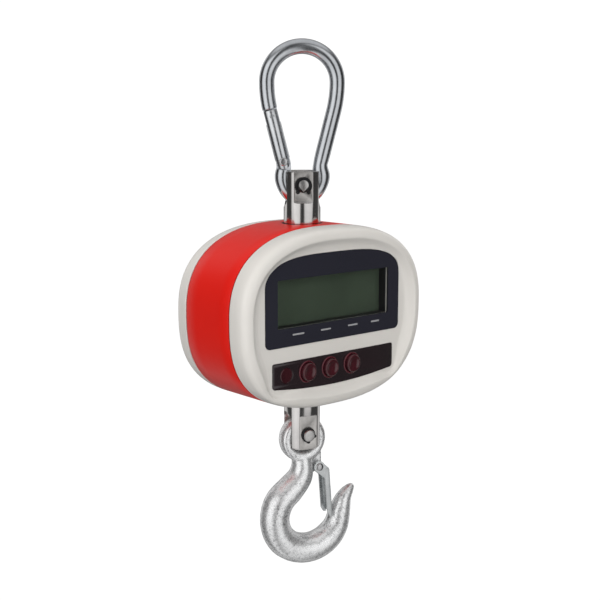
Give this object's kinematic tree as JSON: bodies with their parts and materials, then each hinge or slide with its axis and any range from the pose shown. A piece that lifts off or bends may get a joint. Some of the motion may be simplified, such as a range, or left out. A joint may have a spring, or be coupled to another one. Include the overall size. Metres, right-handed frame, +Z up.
{
  "type": "crane scale",
  "caption": "Hanging crane scale: carabiner and clevis on a swivel, rounded housing with recessed display and keys, and a swivelling lower clevis with a latched lifting hook.",
  "frame": {"origin": "middle of the carabiner's inner crown, the point the scale hangs from", "axes": "+Z up along the load line, +X to the reader's right when facing the display, display faces -Y"},
  "size_m": [0.165, 0.0766, 0.3724],
  "materials": {
    "carabiner_bow": "bright zinc plated steel wire",
    "gate_rivet": "plated steel rivet",
    "gate": "bright zinc plated steel",
    "gate_pin": "steel pin",
    "gate_plunger": "steel plunger",
    "gate_spring": "spring wire",
    "upper_clevis": "nickel plated turned and milled bar",
    "upper_pin": "ground steel pin",
    "upper_circlips": "black oxide spring steel",
    "upper_thrust_washer": "hardened washer",
    "upper_nut": "zinc plated castle nut",
    "upper_split_pin": "split pin",
    "upper_bush": "bronze bush",
    "upper_seal": "black rubber",
    "front_cover": "warm light grey moulded plastic, semi gloss",
    "middle_band": "red lacquered, semi gloss",
    "rear_cover": "warm light grey moulded plastic, semi gloss",
    "front_gasket": "black rubber",
    "rear_gasket": "black rubber",
    "lens_panel": "dark smoked panel",
    "lcd_glass": "dark green grey display glass",
    "lcd_frame": "black display frame",
    "lcd_backlight": "white diffuser",
    "keypad_panel": "dark red brown translucent panel",
    "status_window": "dark red window",
    "button_left": "dark red translucent cap",
    "button_middle": "dark red translucent cap",
    "button_right": "dark red translucent cap",
    "key_switches": "switch bodies",
    "main_board": "green circuit board",
    "board_parts": "electronic parts",
    "buzzer": "black buzzer",
    "board_screws": "small screws",
    "load_cell": "milled aluminium",
    "gauge_covers": "sheet covers",
    "load_cell_brackets": "pressed steel brackets",
    "bracket_screws": "steel screws",
    "cover_screws": "dark steel screws",
    "battery_box": "black plastic tray",
    "battery_cells": "plain round cells",
    "battery_contacts": "plated contacts",
    "battery_door": "warm light grey moulded plastic",
    "lower_clevis": "nickel plated turned and milled bar",
    "lower_pin": "ground steel pin",
    "lower_circlips": "black oxide spring steel",
    "lower_thrust_washer": "hardened washer",
    "lower_nut": "zinc plated castle nut",
    "lower_split_pin": "split pin",
    "lower_bush": "bronze bush",
    "lower_seal": "black rubber",
    "hook": "drop forged steel, rough galvanised grey",
    "latch": "zinc plated folded sheet",
    "latch_rivet": "steel rivet",
    "latch_spring": "spring wire"
  },
  "bodies": {
    "carabiner": {"carabiner_bow": "carabiner_bow", "gate_rivet": "gate_rivet"},
    "gate": {"gate": "gate", "gate_pin": "gate_pin", "gate_plunger": "gate_plunger", "gate_spring": "gate_spring"},
    "upper_clevis": {"upper_clevis": "upper_clevis", "upper_pin": "upper_pin", "upper_circlips": "upper_circlips", "upper_nut": "upper_nut", "upper_split_pin": "upper_split_pin"},
    "lower_clevis": {"lower_clevis": "lower_clevis", "lower_pin": "lower_pin", "lower_circlips": "lower_circlips", "lower_nut": "lower_nut", "lower_split_pin": "lower_split_pin"},
    "hook": {"hook": "hook", "latch_rivet": "latch_rivet", "latch_spring": "latch_spring"},
    "latch": {"latch": "latch"},
    "button_left": {"button_left": "button_left"},
    "button_middle": {"button_middle": "button_middle"},
    "button_right": {"button_right": "button_right"},
    "battery_door": {"battery_door": "battery_door"},
    "housing": {"upper_thrust_washer": "upper_thrust_washer", "upper_bush": "upper_bush", "upper_seal": "upper_seal", "front_cover": "front_cover", "middle_band": "middle_band", "rear_cover": "rear_cover", "front_gasket": "front_gasket", "rear_gasket": "rear_gasket", "lens_panel": "lens_panel", "lcd_glass": "lcd_glass", "lcd_frame": "lcd_frame", "lcd_backlight": "lcd_backlight", "keypad_panel": "keypad_panel", "status_window": "status_window", "key_switches": "key_switches", "main_board": "main_board", "board_parts": "board_parts", "buzzer": "buzzer", "board_screws": "board_screws", "load_cell": "load_cell", "gauge_covers": "gauge_covers", "load_cell_brackets": "load_cell_brackets", "bracket_screws": "bracket_screws", "cover_screws": "cover_screws", "battery_box": "battery_box", "battery_cells": "battery_cells", "battery_contacts": "battery_contacts", "lower_thrust_washer": "lower_thrust_washer", "lower_bush": "lower_bush", "lower_seal": "lower_seal"}
  },
  "joints": [
    {"name": "gate_hinge", "type": "hinge", "parent": "carabiner", "child": "gate", "pos_m": [-0.01057, 0.00768, -0.072], "axis": [0.5878, 0.809, 0], "range_deg": [0, 26], "stiffness_Nm_per_rad": 0.15, "springref_deg": -22.92},
    {"name": "upper_pin_hinge", "type": "hinge", "parent": "carabiner", "child": "upper_clevis", "pos_m": [0, 0, -0.0881], "axis": [0.5878, 0.809, 0], "range_deg": [-45, 45]},
    {"name": "upper_swivel", "type": "hinge", "parent": "upper_clevis", "child": "housing", "pos_m": [0, 0, -0.13], "axis": [0, 0, 1], "continuous": true},
    {"name": "lower_swivel", "type": "hinge", "parent": "housing", "child": "lower_clevis", "pos_m": [0, 0, -0.22], "axis": [0, 0, 1], "continuous": true},
    {"name": "lower_pin_hinge", "type": "hinge", "parent": "lower_clevis", "child": "hook", "pos_m": [0, 0, -0.2634], "axis": [0.2924, 0.9563, 0], "range_deg": [-30, 30]},
    {"name": "latch_hinge", "type": "hinge", "parent": "hook", "child": "latch", "pos_m": [0.01061, -0.00325, -0.2897], "axis": [0.2924, 0.9563, 0], "range_deg": [0, 30], "stiffness_Nm_per_rad": 0.05, "springref_deg": -22.92},
    {"name": "button_left_press", "type": "slide", "parent": "housing", "child": "button_left", "axis": [0, 1, 0], "range_m": [0, 0.001], "stiffness_N_per_m": 600, "springref_m": -0.001},
    {"name": "button_middle_press", "type": "slide", "parent": "housing", "child": "button_middle", "axis": [0, 1, 0], "range_m": [0, 0.001], "stiffness_N_per_m": 600, "springref_m": -0.001},
    {"name": "button_right_press", "type": "slide", "parent": "housing", "child": "button_right", "axis": [0, 1, 0], "range_m": [0, 0.001], "stiffness_N_per_m": 600, "springref_m": -0.001},
    {"name": "battery_door_pull", "type": "slide", "parent": "housing", "child": "battery_door", "axis": [0, 1, 0], "range_m": [0, 0.04]}
  ]
}
